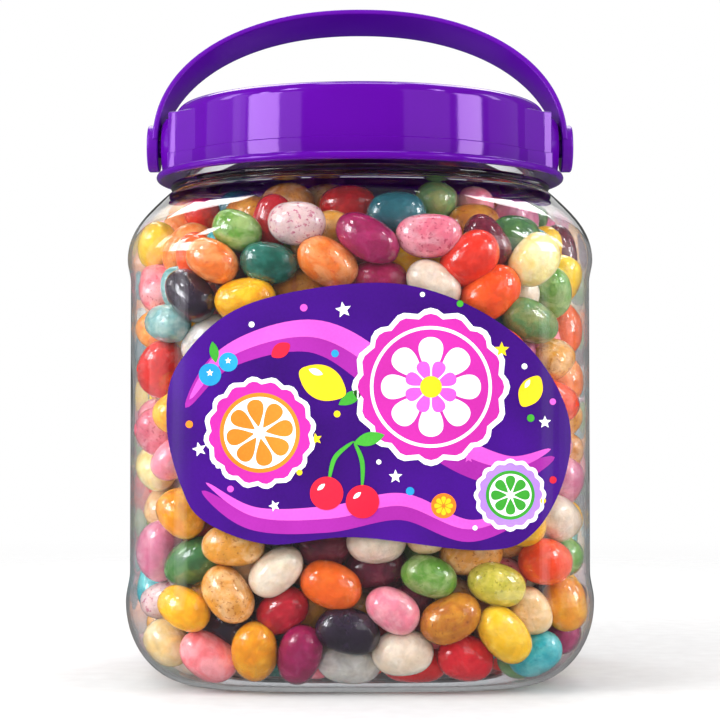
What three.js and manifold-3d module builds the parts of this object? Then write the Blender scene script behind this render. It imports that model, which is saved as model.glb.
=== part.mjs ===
// A clear square-shouldered jar of jelly beans with a violet screw lid and a swinging carry handle.
// Millimetres, +Z up, the front towards -Y. The origin is the middle of the base, on the table.

import * as THREE from "three";
import { mergeVertices } from "three/addons/utils/BufferGeometryUtils.js";
import Module from "manifold-3d";

const wasm = await Module();
wasm.setup();

// Jar body: half-widths across the flats, and heights above the table
const BASE_HALF = 60.4;
const PANEL_HALF = 59.4;
const SHOULDER_HALF = 60.2;
const BASE_FILLET_WIDTH = 17;
const BASE_FILLET_HEIGHT = 21;
const PANEL_BOTTOM = 28.6;
const PANEL_TOP = 102.3;
const SHOULDER_START = 107.9;
const SHOULDER_RADIUS = 25.3;
const SHOULDER_SWEEP = 48.7 * THREE.MathUtils.DEG2RAD;
const PUSH_UP = 2.4;
const RING_WIDTH = 5;
const WALL = 1;
const FLOOR_WALL = 1.3;

// A section is a superellipse: its exponent is 4 in the body and 2, a circle, in the neck
const BODY_EXPONENT = 4;
const NECK_EXPONENT = 2;
const NECK_START = 126.9;

// Neck: a clear bead under the lid, then the plain finish that the lid covers
const NECK_RADIUS = 47;
const NECK_WALL = 1.3;
const BEAD_RADIUS = 50.9;
const BEAD_BOTTOM = 128.2;
const BEAD_TOP = 130.1;
const RIM_TOP = 147.6;

// Lid
const LID_RADIUS = 49.6;
const LID_LOWER_RADIUS = 50;
const LID_BORE = 48.4;
const LID_TOP = 150.9;
const LID_FILLET = 3;
const LID_DISH_RADIUS = 42;
const LID_DISH_DEPTH = 0.8;
const LID_STEP = 136.9;
const FLANGE_RADIUS = 54.7;
const FLANGE_BOTTOM = 130.7;
const FLANGE_THICK = 2;
const FLANGE_LIP = 1.5;

// Ears on the lid's two sides, each with a cone that carries the pivot hole
const EAR_FACE = 50.2;
const EAR_HALF_WIDTH = 19;
const EAR_TOP = 147.6;
const EAR_CORNER = 1;
const CONE_FACE = 53.2;
const CONE_TOP_RADIUS = 6.5;
const CONE_BASE_RADIUS = 11;
const PIVOT_HEIGHT = 140.2;
const PIVOT_HOLE_RADIUS = 2.7;
const PIVOT_HOLE_END = 49.5;

// Handle: a thin strip bent to an arch, resting tipped back
const HANDLE_SPAN = 55.6;
const HANDLE_RISE = 39.2;
const HANDLE_EXPONENT = 2.15;
const HANDLE_THICK = 1.5;
const HANDLE_WIDTH = 13;
const HANDLE_EDGE = 0.35;
const HANDLE_LEAN = 18 * THREE.MathUtils.DEG2RAD;
const BUTTON_RADIUS = 6.3;
const BUTTON_FACE = 57.1;
const BUTTON_EDGE = 0.6;
const STUD_RADIUS = 2.4;
const STUD_END = 49.8;

// Label: a printed film, bent round the front panel, with a broad kidney outline (x, z)
const LABEL_THICK = 0.3;
const LABEL_OUTLINE = [
  [-46.7, 66],
  [-43.8, 80.6],
  [-27.9, 94.5],
  [1.9, 100],
  [22.1, 96.4],
  [39.9, 85.4],
  [50.3, 69.1],
  [49.9, 54.1],
  [41.9, 40],
  [29.5, 35.8],
  [-1.5, 39],
  [-22, 37.3],
  [-37.3, 42.7],
  [-43, 51],
];

// Heap of beans: fills the jar to the shoulder, with a lumpy top
const GAP = 0.3;
const HEAP_EDGE = 117.2;
const HEAP_EDGE_INSET = 2.6;
const HEAP_CROWN = 122.6;
const HEAP_RINGS = 6;
const LUMP_HEIGHT = 1.6;
const LUMP_LENGTH = 33;

// Steps round each turned piece, and along each curve
const AROUND = 48;
const HEAP_AROUND = 40;
const FILLET_STEPS = 6;
const SHOULDER_STEPS = 5;
const LID_EDGE_STEPS = 3;
const ARCH_STEPS = 30;
const LABEL_COLUMNS = 32;
const LABEL_EDGE_STEPS = 60;

function point(x, y) {
  return new THREE.Vector2(x, y);
}

// Points on an elliptical arc, from one angle to another
function arc(centre, radiusX, radiusY, from, to, steps) {
  return Array.from({ length: steps + 1 }, (unused, i) => {
    const angle = from + ((to - from) * i) / steps;
    return point(centre.x + radiusX * Math.cos(angle), centre.y + radiusY * Math.sin(angle));
  });
}

// Turns a profile of (radius, height) round the vertical axis
function turned(profile, segments = AROUND) {
  return new THREE.LatheGeometry(profile, segments).rotateX(Math.PI / 2);
}

function moveVertices(geometry, move) {
  const places = geometry.attributes.position;
  const vertex = new THREE.Vector3();
  for (let i = 0; i < places.count; i += 1) {
    vertex.fromBufferAttribute(places, i);
    move(vertex);
    places.setXYZ(i, vertex.x, vertex.y, vertex.z);
  }
  geometry.computeVertexNormals();
  return geometry;
}

// The round neck turns into the rounded square of the body between these two heights
function sectionExponent(height) {
  const share = THREE.MathUtils.smoothstep(height, SHOULDER_START, NECK_START);
  return THREE.MathUtils.lerp(BODY_EXPONENT, NECK_EXPONENT, share);
}

function squareUp(vertex) {
  const exponent = sectionExponent(vertex.z);
  const angle = Math.atan2(vertex.y, vertex.x);
  const sum = Math.abs(Math.cos(angle)) ** exponent + Math.abs(Math.sin(angle)) ** exponent;
  const stretch = sum ** (-1 / exponent);
  vertex.x *= stretch;
  vertex.y *= stretch;
}

// Distance of the front panel's surface from the jar's axis, at a distance x from the middle
function panelDepth(x) {
  return PANEL_HALF * (1 - (Math.abs(x) / PANEL_HALF) ** BODY_EXPONENT) ** (1 / BODY_EXPONENT);
}

function toSolid(geometry) {
  const bare = geometry.clone();
  bare.deleteAttribute("normal");
  bare.deleteAttribute("uv");
  const merged = mergeVertices(bare, 1e-4);
  return new wasm.Manifold(
    new wasm.Mesh({
      numProp: 3,
      vertProperties: new Float32Array(merged.attributes.position.array),
      triVerts: new Uint32Array(merged.index.array),
    })
  );
}

function toGeometry(solid) {
  const mesh = solid.getMesh();
  const geometry = new THREE.BufferGeometry();
  geometry.setAttribute("position", new THREE.BufferAttribute(mesh.vertProperties, 3));
  geometry.setIndex(new THREE.BufferAttribute(mesh.triVerts, 1));
  geometry.computeVertexNormals();
  return geometry;
}

// A cylinder or cone along X, between two distances from the axis, on the side given by sign
function pegAlongX(innerRadius, outerRadius, innerX, outerX, sign, segments = 32) {
  const length = outerX - innerX;
  const peg = new THREE.CylinderGeometry(outerRadius, innerRadius, length, segments);
  return peg.rotateZ((-sign * Math.PI) / 2).translate((sign * (innerX + outerX)) / 2, 0, 0);
}

// The outer or inner line of the jar's wall, from the base ring to the shoulder's top
function wallLine(inset) {
  const halfBase = BASE_HALF - BASE_FILLET_WIDTH;
  const fillet = arc(
    point(halfBase, BASE_FILLET_HEIGHT),
    BASE_FILLET_WIDTH - inset,
    BASE_FILLET_HEIGHT - inset,
    -Math.PI / 2,
    0,
    FILLET_STEPS
  );
  const shoulder = arc(
    point(SHOULDER_HALF - SHOULDER_RADIUS, SHOULDER_START),
    SHOULDER_RADIUS - inset,
    SHOULDER_RADIUS - inset,
    0,
    SHOULDER_SWEEP,
    SHOULDER_STEPS
  );
  return [
    ...fillet,
    point(PANEL_HALF - inset, PANEL_BOTTOM),
    point(PANEL_HALF - inset, PANEL_TOP),
    ...shoulder,
  ];
}

function jarGeometry() {
  const ringOuter = BASE_HALF - BASE_FILLET_WIDTH;
  const ringInner = ringOuter - RING_WIDTH;
  const domeStart = ringInner - 2 * PUSH_UP;
  const profile = [
    point(0, PUSH_UP),
    point(domeStart, PUSH_UP),
    point(ringInner, 0),
    ...wallLine(0),
    point(BEAD_RADIUS - 1, BEAD_BOTTOM),
    point(BEAD_RADIUS, BEAD_BOTTOM + 0.6),
    point(BEAD_RADIUS, BEAD_TOP - 0.6),
    point(BEAD_RADIUS - 1, BEAD_TOP),
    point(NECK_RADIUS, BEAD_TOP + 0.2),
    point(NECK_RADIUS, RIM_TOP),
    point(NECK_RADIUS - NECK_WALL, RIM_TOP),
    point(NECK_RADIUS - NECK_WALL, BEAD_TOP),
    ...wallLine(WALL).reverse(),
    point(ringInner, FLOOR_WALL),
    point(domeStart, PUSH_UP + FLOOR_WALL),
    point(0, PUSH_UP + FLOOR_WALL),
  ];
  return moveVertices(turned(profile), squareUp);
}

function beanHeapGeometry() {
  const ringInner = BASE_HALF - BASE_FILLET_WIDTH - RING_WIDTH;
  const domeStart = ringInner - 2 * PUSH_UP;
  const floor = PUSH_UP + FLOOR_WALL + GAP;
  const side = wallLine(WALL + GAP).filter((place) => place.y < HEAP_EDGE - 2);
  const edge = SHOULDER_HALF - WALL - GAP - HEAP_EDGE_INSET;
  const profile = [
    point(0, floor),
    point(domeStart, floor),
    point(ringInner, FLOOR_WALL + GAP),
    ...side,
    point(edge, HEAP_EDGE),
  ];
  for (let ring = HEAP_RINGS; ring >= 0; ring -= 1) {
    const share = ring / (HEAP_RINGS + 1);
    profile.push(point(edge * share, HEAP_CROWN - (HEAP_CROWN - HEAP_EDGE) * share ** 4));
  }
  const wave = (2 * Math.PI) / LUMP_LENGTH;
  return moveVertices(turned(profile, HEAP_AROUND), (vertex) => {
    if (vertex.z > HEAP_EDGE + 0.01) {
      const inward = 1 - Math.hypot(vertex.x, vertex.y) / edge;
      const lumps = Math.sin(vertex.x * wave) * Math.cos(vertex.y * wave * 0.85 + 0.7);
      vertex.z += LUMP_HEIGHT * lumps * THREE.MathUtils.smoothstep(inward, 0, 0.3);
    }
    squareUp(vertex);
  });
}

function lidShell() {
  const lipMiddle = point(FLANGE_RADIUS - 1, FLANGE_BOTTOM + FLANGE_THICK / 2);
  const filletMiddle = point(LID_RADIUS - LID_FILLET, LID_TOP - LID_FILLET);
  return toSolid(
    turned([
      point(0, RIM_TOP + GAP),
      point(LID_BORE, RIM_TOP + GAP),
      point(LID_BORE, FLANGE_BOTTOM + 3),
      point(FLANGE_RADIUS - FLANGE_LIP, FLANGE_BOTTOM),
      ...arc(lipMiddle, 1, 1, -Math.PI / 2, Math.PI / 2, LID_EDGE_STEPS),
      point(LID_LOWER_RADIUS + 0.6, FLANGE_BOTTOM + FLANGE_THICK + 0.2),
      point(LID_LOWER_RADIUS, FLANGE_BOTTOM + FLANGE_THICK + 0.8),
      point(LID_LOWER_RADIUS, LID_STEP),
      point(LID_RADIUS, LID_STEP + 0.3),
      ...arc(filletMiddle, LID_FILLET, LID_FILLET, 0, Math.PI / 2, LID_EDGE_STEPS),
      point(LID_DISH_RADIUS + LID_DISH_DEPTH, LID_TOP),
      point(LID_DISH_RADIUS, LID_TOP - LID_DISH_DEPTH),
      point(0, LID_TOP - LID_DISH_DEPTH),
    ])
  );
}

// One ear: a flat pad on the lid's side, and a cone on the pad, cut level with the pad's top
function ear(sign) {
  const bottom = FLANGE_BOTTOM + FLANGE_THICK - 0.5;
  const outline = new THREE.Shape([
    point(LID_BORE - 12, -EAR_HALF_WIDTH),
    point(EAR_FACE - EAR_CORNER, -EAR_HALF_WIDTH),
    point(EAR_FACE, -EAR_HALF_WIDTH + EAR_CORNER),
    point(EAR_FACE, EAR_HALF_WIDTH - EAR_CORNER),
    point(EAR_FACE - EAR_CORNER, EAR_HALF_WIDTH),
    point(LID_BORE - 12, EAR_HALF_WIDTH),
  ]);
  const height = EAR_TOP - bottom;
  const slab = new THREE.ExtrudeGeometry(outline, { depth: height, bevelEnabled: false });
  slab.translate(0, 0, bottom);
  if (sign < 0) {
    slab.rotateZ(Math.PI);
  }
  const cone = pegAlongX(CONE_BASE_RADIUS, CONE_TOP_RADIUS, EAR_FACE - 0.4, CONE_FACE, sign, 40);
  cone.translate(0, 0, PIVOT_HEIGHT);
  const level = new THREE.BoxGeometry(240, 60, height).translate(0, 0, bottom + height / 2);
  const bore = new THREE.CylinderGeometry(LID_BORE + 0.4, LID_BORE + 0.4, 60, AROUND);
  bore.rotateX(Math.PI / 2).translate(0, 0, PIVOT_HEIGHT);
  return toSolid(slab).add(toSolid(cone).intersect(toSolid(level))).subtract(toSolid(bore));
}

function lidGeometry() {
  let lid = lidShell();
  for (const sign of [-1, 1]) {
    const hole = pegAlongX(PIVOT_HOLE_RADIUS, PIVOT_HOLE_RADIUS, PIVOT_HOLE_END, CONE_FACE + 1, sign);
    hole.translate(0, 0, PIVOT_HEIGHT);
    lid = lid.add(ear(sign)).subtract(toSolid(hole));
  }
  return toGeometry(lid);
}

// Half of a flattened ellipse, from +X over the top to -X
function archLine(span, rise, steps) {
  const power = 2 / HANDLE_EXPONENT;
  return Array.from({ length: steps + 1 }, (unused, i) => {
    const angle = (Math.PI * i) / steps;
    const cosine = Math.cos(angle);
    const side = Math.sign(cosine) * Math.abs(cosine) ** power;
    return point(span * side, rise * Math.max(Math.sin(angle), 0) ** power);
  });
}

// The handle is modelled upright, with its pivot axis through the origin
function handleGeometry() {
  const outer = archLine(HANDLE_SPAN, HANDLE_RISE, ARCH_STEPS);
  const inner = archLine(HANDLE_SPAN - HANDLE_THICK, HANDLE_RISE - HANDLE_THICK, ARCH_STEPS);
  const strip = new THREE.ExtrudeGeometry(new THREE.Shape([...outer, ...inner.reverse()]), {
    depth: HANDLE_WIDTH - 2 * HANDLE_EDGE,
    bevelThickness: HANDLE_EDGE,
    bevelSize: HANDLE_EDGE,
    bevelOffset: -HANDLE_EDGE,
    bevelSegments: 1,
  });
  strip.translate(0, 0, HANDLE_EDGE - HANDLE_WIDTH / 2).rotateX(Math.PI / 2);
  let handle = toSolid(strip);
  for (const sign of [-1, 1]) {
    const inside = HANDLE_SPAN - HANDLE_THICK;
    const rim = BUTTON_FACE - BUTTON_EDGE;
    const disc = pegAlongX(BUTTON_RADIUS, BUTTON_RADIUS, inside, rim, sign, 40);
    const cap = pegAlongX(BUTTON_RADIUS, BUTTON_RADIUS - BUTTON_EDGE, rim, BUTTON_FACE, sign, 40);
    const stud = pegAlongX(STUD_RADIUS, STUD_RADIUS, STUD_END, HANDLE_SPAN, sign);
    handle = handle.add(toSolid(disc)).add(toSolid(cap)).add(toSolid(stud));
  }
  return toGeometry(handle);
}

// A flat strip of film bent round the panel, cut to the outline
function labelGeometry() {
  const width = 2 * PANEL_HALF - 10;
  const height = PANEL_TOP - PANEL_BOTTOM;
  const film = new THREE.BoxGeometry(width, LABEL_THICK, height, LABEL_COLUMNS, 1, 1);
  film.translate(0, 0, (PANEL_TOP + PANEL_BOTTOM) / 2);
  moveVertices(film, (vertex) => {
    const offset = GAP + LABEL_THICK / 2 - vertex.y;
    const x = vertex.x;
    const slope = (panelDepth(x + 0.01) - panelDepth(x - 0.01)) / 0.02;
    const length = Math.hypot(1, slope);
    vertex.x = x - (offset * slope) / length;
    vertex.y = -(panelDepth(x) + offset / length);
  });
  const curve = new THREE.SplineCurve(
    [...LABEL_OUTLINE, LABEL_OUTLINE[0]].map(([x, z]) => point(x, z))
  );
  const outline = new THREE.Shape(curve.getSpacedPoints(LABEL_EDGE_STEPS).slice(0, -1).reverse());
  const cutter = new THREE.ExtrudeGeometry(outline, { depth: PANEL_HALF + 5, bevelEnabled: false });
  cutter.rotateX(Math.PI / 2);
  return toGeometry(toSolid(film).intersect(toSolid(cutter)));
}

const clearPet = new THREE.MeshStandardMaterial({
  color: 0xf2f4f6,
  roughness: 0.05,
  metalness: 0,
  transparent: true,
  opacity: 0.25,
});
const violetPlastic = new THREE.MeshStandardMaterial({ color: 0x7a1cc0, roughness: 0.25, metalness: 0 });
const violetHandle = new THREE.MeshStandardMaterial({ color: 0x7218b8, roughness: 0.28, metalness: 0 });
const printedFilm = new THREE.MeshStandardMaterial({ color: 0x4b148e, roughness: 0.35, metalness: 0 });
const sugarShell = new THREE.MeshStandardMaterial({ color: 0xe8872c, roughness: 0.3, metalness: 0 });

function part(name, geometry, material) {
  const mesh = new THREE.Mesh(geometry, material);
  mesh.name = name;
  return mesh;
}

const jarOfBeans = new THREE.Group();
jarOfBeans.add(part("jar", jarGeometry(), clearPet));
jarOfBeans.add(part("beans", beanHeapGeometry(), sugarShell));
jarOfBeans.add(part("label", labelGeometry(), printedFilm));
jarOfBeans.add(part("lid", lidGeometry(), violetPlastic));

const handle = part("handle", handleGeometry(), violetHandle);
handle.position.z = PIVOT_HEIGHT;
handle.rotation.x = -HANDLE_LEAN;
jarOfBeans.add(handle);

export default jarOfBeans;
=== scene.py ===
"""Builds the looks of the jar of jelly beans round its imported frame, laid out as an add-on."""
import math

import bmesh
import bpy
import numpy as np
from mathutils import Matrix, Vector


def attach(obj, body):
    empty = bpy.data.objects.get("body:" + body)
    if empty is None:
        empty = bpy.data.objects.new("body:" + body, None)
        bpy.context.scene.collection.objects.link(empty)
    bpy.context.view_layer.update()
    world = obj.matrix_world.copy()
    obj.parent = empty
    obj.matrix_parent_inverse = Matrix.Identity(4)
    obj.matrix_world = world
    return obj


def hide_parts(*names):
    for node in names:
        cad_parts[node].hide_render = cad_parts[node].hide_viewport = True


bl_info = {
    "name": "Jar of jelly beans",
    "version": (1, 0, 0),
    "blender": (4, 5, 0),
    "location": "3D View > Sidebar > Jelly beans",
    "description": "Builds the jar, its beans, label, lid, handle and stage",
    "category": "Object",
}

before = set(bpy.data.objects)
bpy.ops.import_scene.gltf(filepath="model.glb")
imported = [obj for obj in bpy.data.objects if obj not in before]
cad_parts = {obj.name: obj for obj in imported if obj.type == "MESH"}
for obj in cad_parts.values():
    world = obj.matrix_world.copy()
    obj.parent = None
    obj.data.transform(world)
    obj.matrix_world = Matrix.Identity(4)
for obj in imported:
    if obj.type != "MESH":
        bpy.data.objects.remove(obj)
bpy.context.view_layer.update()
MM = 0.001

JAR_BODY = "filled_jar"
HANDLE_BODY = "carry_handle"

# The jar's outline in millimetres, as the frame has it
BASE_HALF = 60.4
PANEL_HALF = 59.4
SHOULDER_HALF = 60.2
BASE_FILLET_WIDTH = 17.0
BASE_FILLET_HEIGHT = 21.0
PANEL_BOTTOM = 28.6
PANEL_TOP = 102.3
SHOULDER_START = 107.9
SHOULDER_RADIUS = 25.3
SHOULDER_SWEEP = 48.7
PUSH_UP = 2.4
RING_WIDTH = 5.0
FLOOR_WALL = 1.3
BODY_EXPONENT = 4.0
NECK_EXPONENT = 2.0
NECK_START = 126.9
NECK_RADIUS = 47.0
NECK_WALL = 1.3
BEAD_RADIUS = 50.9
BEAD_BOTTOM = 128.2
BEAD_TOP = 130.1
RIM_TOP = 147.6

# The lid, its ears and the handle's pivot
LID_RADIUS = 49.6
LID_LOWER_RADIUS = 50.0
LID_BORE = 48.4
LID_TOP = 150.9
LID_FILLET = 3.0
LID_DISH_RADIUS = 42.0
LID_DISH_DEPTH = 0.8
LID_STEP = 136.9
FLANGE_RADIUS = 54.7
FLANGE_BOTTOM = 130.7
FLANGE_THICK = 2.0
EAR_FACE = 50.2
EAR_HALF_WIDTH = 19.0
EAR_START = (40.4, -28.0)
EAR_CORNER = 48.1
EAR_CHAMFER_SLOPE = 0.52
EAR_STEP = 0.25
CONE_FACE = 53.2
CONE_TOP_RADIUS = 6.5
CONE_BASE_RADIUS = 11.0
PIVOT_HEIGHT = 140.2
BUTTON_RADIUS = 6.3
BUTTON_FACE = 57.1
STUD_RADIUS = 2.4
STUD_END = 49.8

# The label's edge, as x and height on the front panel
LABEL_OUTLINE = [
    (-46.7, 66.0), (-43.8, 80.6), (-27.9, 94.5), (1.9, 100.0), (22.1, 96.4), (39.9, 85.4), (50.3, 69.1),
    (49.9, 54.1), (41.9, 40.0), (29.5, 35.8), (-1.5, 39.0), (-22.0, 37.3), (-37.3, 42.7), (-43.0, 51.0),
]

# The label's inks: a colour and its darker tone
INKS = {
    "magenta": ("#C92CA6", "#B42494"),
    "white": ("#FFFFFF", "#F2EEF6"),
    "pink": ("#E062CE", "#CC48BA"),
    "deep_pink": ("#AA2AA8", "#921C8E"),
    "green": ("#4CB03A", "#2E8E2A"),
    "yellow": ("#FFD426", "#F6BA10"),
    "orange": ("#FF8C2C", "#F26C16"),
    "red": ("#E6243E", "#C41232"),
    "blue": ("#2CA8DE", "#1E86C6"),
    "lilac": ("#B890E8", "#A274DA"),
}

# Swooshes on the label: ink, layer, width and the middle line's x and height
SWOOSHES = [
    ("deep_pink", 1, 8.0, [(-42, 70), (-32, 82), (-12, 87), (4, 78), (18, 62), (34, 54), (47, 58)]),
    ("pink", 2, 4.6, [(-41, 72), (-31, 84), (-11, 89), (6, 80), (20, 64), (35, 57), (46, 60)]),
    ("deep_pink", 1, 6.0, [(-38, 50), (-26, 43), (-8, 43), (10, 46), (26, 40), (40, 44)]),
    ("pink", 2, 3.2, [(-37, 52), (-25, 45), (-7, 45), (10, 48), (26, 42), (39, 46)]),
    ("green", 5, 1.1, [(-7.5, 52), (-6, 58), (-1.5, 62)]),
    ("green", 5, 1.1, [(0.5, 50.5), (0.5, 57), (-1.5, 62)]),
]

# Printed shapes on the label: ink, layer, kind, x, height, size and turn in degrees
PRINTS = [
    ("white", 3, "rosette", 17, 75, 19.0, 0),
    ("magenta", 4, "rosette", 17, 75, 17.6, 0),
    ("white", 5, "disc", 17, 75, 14.6, 0),
    ("magenta", 6, "disc", 17, 75, 13.8, 0),
    ("white", 7, "flower", 17, 75, 12.2, 0),
    ("pink", 8, "flower", 17, 75, 6.6, 22),
    ("yellow", 9, "disc", 17, 75, 2.6, 0),
    ("white", 3, "rosette", -24, 64, 13.6, 8),
    ("magenta", 4, "rosette", -24, 64, 12.4, 8),
    ("orange", 5, "disc", -24, 64, 9.6, 0),
    ("white", 6, "disc", -24, 64, 8.6, 0),
    ("orange", 7, "flower", -24, 64, 8.2, 10),
    ("white", 3, "rosette", 36, 49, 8.8, 0),
    ("lilac", 4, "rosette", 36, 49, 7.8, 0),
    ("green", 5, "disc", 36, 49, 5.9, 0),
    ("white", 6, "disc", 36, 49, 5.1, 0),
    ("green", 7, "flower", 36, 49, 4.8, 0),
    ("red", 6, "disc", -8, 49.5, 4.0, 0),
    ("red", 6, "disc", 0.6, 47.5, 4.0, 0),
    ("white", 7, "leaf", -9.3, 51.0, 1.2, 40),
    ("white", 7, "leaf", -0.7, 49.0, 1.2, 40),
    ("green", 6, "leaf", 2.2, 62.5, 3.8, 15),
    ("yellow", 3, "lemon", -9, 76, 6.2, -28),
    ("white", 4, "leaf", -10.6, 78.6, 1.8, -20),
    ("green", 3, "leaf", -2.2, 72.4, 3.4, 30),
    ("yellow", 3, "lemon", 41, 74, 4.2, 60),
    ("white", 4, "leaf", 40.2, 75.8, 1.2, 60),
    ("blue", 3, "disc", -36, 78, 2.7, 0),
    ("blue", 3, "disc", -31.6, 81, 2.3, 0),
    ("white", 4, "star", -36, 78.4, 0.9, 0),
    ("white", 4, "star", -31.6, 81.3, 0.8, 0),
    ("green", 3, "leaf", -35, 83.4, 2.6, 100),
    ("orange", 3, "disc", 20, 46.5, 3.0, 0),
    ("yellow", 4, "flower", 20, 46.5, 2.3, 0),
    ("red", 3, "lemon", -19, 83.8, 2.6, 35),
    ("white", 3, "star", -4, 93.5, 2.0, 10),
    ("white", 3, "star", 44.5, 66.5, 1.6, 0),
    ("white", 3, "star", -38.5, 60, 1.8, 15),
    ("white", 3, "star", 8.5, 53.5, 1.7, 0),
    ("white", 3, "star", -20.5, 46.5, 1.4, 20),
    ("yellow", 3, "star", 34, 84, 1.9, 0),
    ("yellow", 3, "star", -10.5, 62.5, 1.5, 12),
    ("pink", 3, "star", 26, 58, 1.3, 0),
    ("white", 3, "disc", -26, 90.0, 0.7, 0),
    ("pink", 3, "disc", -13.5, 94.0, 0.9, 0),
    ("yellow", 3, "disc", -5.5, 68.5, 0.8, 0),
    ("blue", 3, "disc", -6.0, 83.0, 0.9, 0),
    ("white", 3, "disc", -34.0, 56.0, 0.6, 0),
    ("pink", 3, "disc", -31.0, 50.5, 0.8, 0),
    ("yellow", 3, "disc", -14.5, 54.5, 0.7, 0),
    ("blue", 3, "disc", 12.0, 50.0, 1.0, 0),
    ("white", 3, "disc", 4.5, 57.0, 0.6, 0),
    ("white", 3, "disc", 39.5, 80.0, 0.7, 0),
    ("pink", 3, "disc", 46.5, 71.5, 0.8, 0),
    ("green", 3, "disc", 41.0, 67.5, 0.9, 0),
    ("red", 3, "disc", 46.5, 52.5, 0.9, 0),
    ("yellow", 3, "disc", 44.0, 47.5, 0.7, 0),
    ("white", 3, "disc", 27.5, 41.2, 0.6, 0),
    ("orange", 3, "disc", -41.0, 66.0, 0.9, 0),
    ("green", 3, "disc", 24.0, 95.0, 0.8, 0),
    ("white", 3, "disc", 15.0, 97.2, 0.6, 0),
]

# Each kind of bean: its colour, its second tone, its specks' colour,
# and how much it is mottled, speckled and see-through
BEAN_KINDS = {
    "lemon": ("#FCC112", "#FFD654", "#E6A016", 0.5, 0.0, 0.3),
    "golden": ("#F8A30A", "#FFBE27", "#D78405", 0.7, 0.1, 0.35),
    "butter": ("#F6D58A", "#FDECC3", "#E8B960", 0.6, 0.0, 0.6),
    "amber": ("#DE9436", "#EEBC86", "#A35216", 0.8, 0.55, 0.3),
    "caramel": ("#D69028", "#B8661A", "#7E3A08", 0.8, 0.4, 0.15),
    "orange": ("#F7842C", "#FFB670", "#D8481A", 0.6, 0.25, 0.3),
    "tangerine": ("#FE7212", "#FF8523", "#E04706", 0.5, 0.0, 0.25),
    "peach": ("#FC8B32", "#FFB576", "#DC5424", 0.6, 0.2, 0.35),
    "scarlet": ("#F2420F", "#FF6623", "#BB2408", 0.5, 0.0, 0.2),
    "red": ("#D70A15", "#E92928", "#9E050D", 0.6, 0.1, 0.2),
    "crimson": ("#AD0A0A", "#D41E1E", "#700606", 0.6, 0.1, 0.1),
    "coral": ("#F87C8C", "#FFB1B9", "#DE4B5F", 0.6, 0.1, 0.3),
    "rose": ("#E87387", "#F2AEB5", "#B4284C", 0.7, 0.72, 0.35),
    "pink": ("#F88C9E", "#FFC0C4", "#E15776", 0.6, 0.1, 0.35),
    "orchid": ("#CC6C92", "#E0A0B2", "#A3476D", 0.6, 0.1, 0.4),
    "plum": ("#980F4B", "#B32665", "#6D0C38", 0.6, 0.2, 0.25),
    "grape": ("#560A28", "#7E1E35", "#3A0515", 0.6, 0.1, 0.1),
    "licorice": ("#241628", "#34243C", "#0C060E", 0.5, 0.0, 0.0),
    "cream": ("#E5CDB6", "#EFE1D1", "#D1B190", 0.6, 0.1, 0.5),
    "pearl": ("#D4CEC4", "#E8E4DC", "#B4AC9E", 0.7, 0.1, 0.7),
    "speckled": ("#E8C8C4", "#E3C5C3", "#BA436D", 0.5, 0.8, 0.4),
    "leaf": ("#669E38", "#ACC17D", "#397527", 0.7, 0.25, 0.3),
    "forest": ("#366639", "#558141", "#204324", 0.7, 0.2, 0.1),
    "moss": ("#6C9A5C", "#A09E5D", "#4A6C39", 0.7, 0.2, 0.45),
    "olive": ("#C0B23B", "#DECA57", "#877E1C", 0.8, 0.5, 0.2),
    "teal": ("#28A4AC", "#6AC1C2", "#147481", 0.7, 0.2, 0.3),
    "sea": ("#659F9E", "#A9C5BE", "#337674", 0.7, 0.3, 0.4),
    "spruce": ("#0C5244", "#2A7868", "#06352C", 0.7, 0.1, 0.15),
    "steel": ("#1B5864", "#2B717C", "#0D3D46", 0.6, 0.1, 0.15),
    "tan": ("#E3B67E", "#F1D4AE", "#BB8A52", 0.7, 0.3, 0.4),
}

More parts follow.
